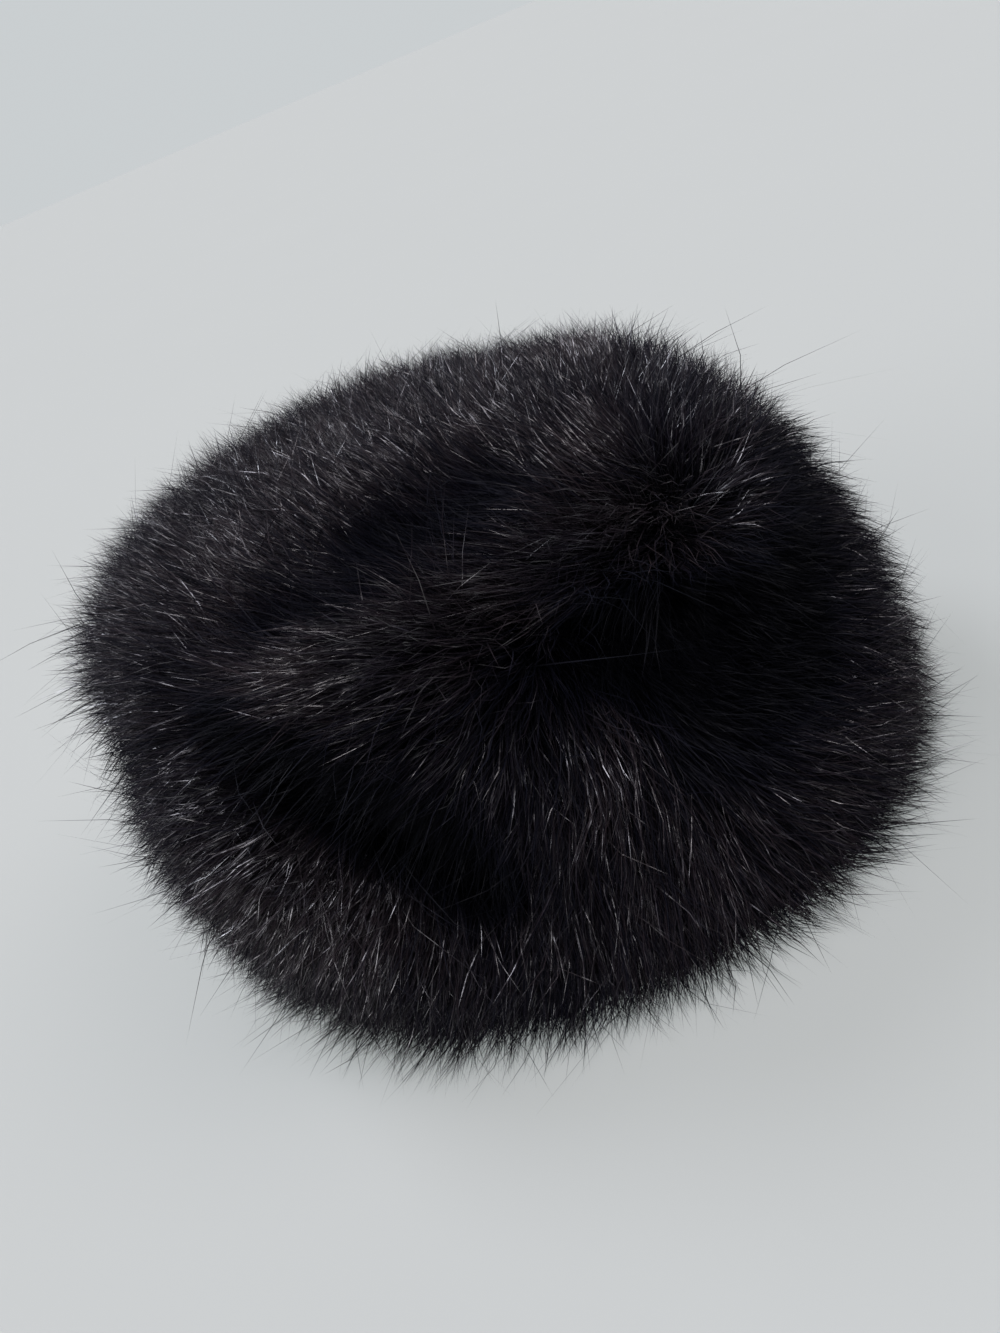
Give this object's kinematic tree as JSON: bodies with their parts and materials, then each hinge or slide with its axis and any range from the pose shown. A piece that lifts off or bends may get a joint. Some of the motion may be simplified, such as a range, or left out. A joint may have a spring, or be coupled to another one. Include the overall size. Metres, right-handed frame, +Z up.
{
  "type": "faux fur pillbox hat",
  "caption": "Soft pillbox hat: an upright oval band and a gently domed crown, covered all over in deep black faux fur, hollow inside for the head.",
  "frame": {"origin": "on the floor under the middle of the hat as it stands on its hem", "axes": "+X to the brow, +Y to the wearer's left, +Z up through the crown"},
  "size_m": [0.2828, 0.2476, 0.1537],
  "materials": {
    "backing_cloth": "matt black knitted backing",
    "pile": "long soft black pile with a faint sheen"
  },
  "bodies": {
    "root": {"side_band": "backing_cloth", "crown_panel": "backing_cloth", "side_fur": "pile", "crown_fur": "pile"}
  },
  "joints": []
}
